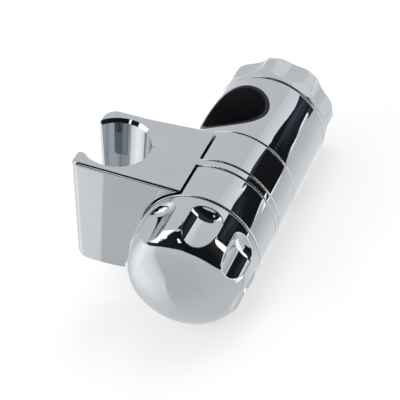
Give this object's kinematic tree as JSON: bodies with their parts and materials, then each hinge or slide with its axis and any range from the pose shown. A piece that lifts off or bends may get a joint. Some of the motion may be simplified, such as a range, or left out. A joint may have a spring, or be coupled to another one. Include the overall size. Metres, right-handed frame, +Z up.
{
  "type": "sliding shower bracket",
  "caption": "Rail bracket for a hand shower: a round barrel clamps a riser rail with one end knob, and an open conical clip tilts about it and locks with the other knob.",
  "frame": {"origin": "where the riser rail's axis crosses the barrel's axis", "axes": "+Z up the rail, +X along the barrel towards the tilt knob, and the arm reaches to -Y"},
  "size_m": [0.1089, 0.067, 0.057],
  "materials": {
    "chrome_body": "bright plated",
    "chrome_sleeves": "bright plated",
    "chrome_arm": "bright plated",
    "chrome_knobs": "bright plated",
    "liner_black": "satin moulded",
    "inner_plastic": "satin moulded",
    "nylon": "satin moulded",
    "brass": "turned",
    "steel": "zinc plated",
    "pad_rubber": "matt"
  },
  "bodies": {
    "bracket": {"body": "chrome_body", "rail_liner": "liner_black", "fixed_sleeve": "chrome_sleeves", "pivot_insert": "brass", "far_friction_ring": "nylon", "thrust_cap": "inner_plastic", "thrust_washer": "nylon"},
    "arm": {"holder_arm": "chrome_arm"},
    "pressure_sleeve": {"pressure_sleeve": "chrome_sleeves", "near_friction_ring": "nylon", "spring_washer": "steel", "pressure_washer": "steel"},
    "tilt_knob": {"tilt_knob": "chrome_knobs", "tilt_screw": "steel"},
    "clamp_knob": {"clamp_knob": "chrome_knobs", "clamp_screw": "steel", "retaining_ring": "steel", "knob_washer": "nylon"},
    "clamp_pad": {"pad_carrier": "brass", "clamp_pad": "pad_rubber"}
  },
  "joints": [
    {"name": "arm_tilt", "type": "hinge", "parent": "bracket", "child": "arm", "pos_m": [0, 0, 0], "axis": [1, 0, 0], "continuous": true},
    {"name": "tilt_release", "type": "slide", "parent": "bracket", "child": "pressure_sleeve", "axis": [1, 0, 0], "range_m": [0, 0.001]},
    {"name": "tilt_knob_turn", "type": "hinge", "parent": "pressure_sleeve", "child": "tilt_knob", "pos_m": [0, 0, 0], "axis": [1, 0, 0], "range_deg": [0, 288]},
    {"name": "clamp_knob_turn", "type": "hinge", "parent": "bracket", "child": "clamp_knob", "pos_m": [0, 0, 0], "axis": [1, 0, 0], "range_deg": [0, 518.4]},
    {"name": "pad_travel", "type": "slide", "parent": "bracket", "child": "clamp_pad", "axis": [1, 0, 0], "range_m": [0, 0.0018]}
  ],
  "couplings": [
    {"joint": "tilt_release", "follows": "tilt_knob_turn", "m_per_rad": 0.0001989},
    {"joint": "pad_travel", "follows": "clamp_knob_turn", "m_per_rad": 0.0001989}
  ]
}
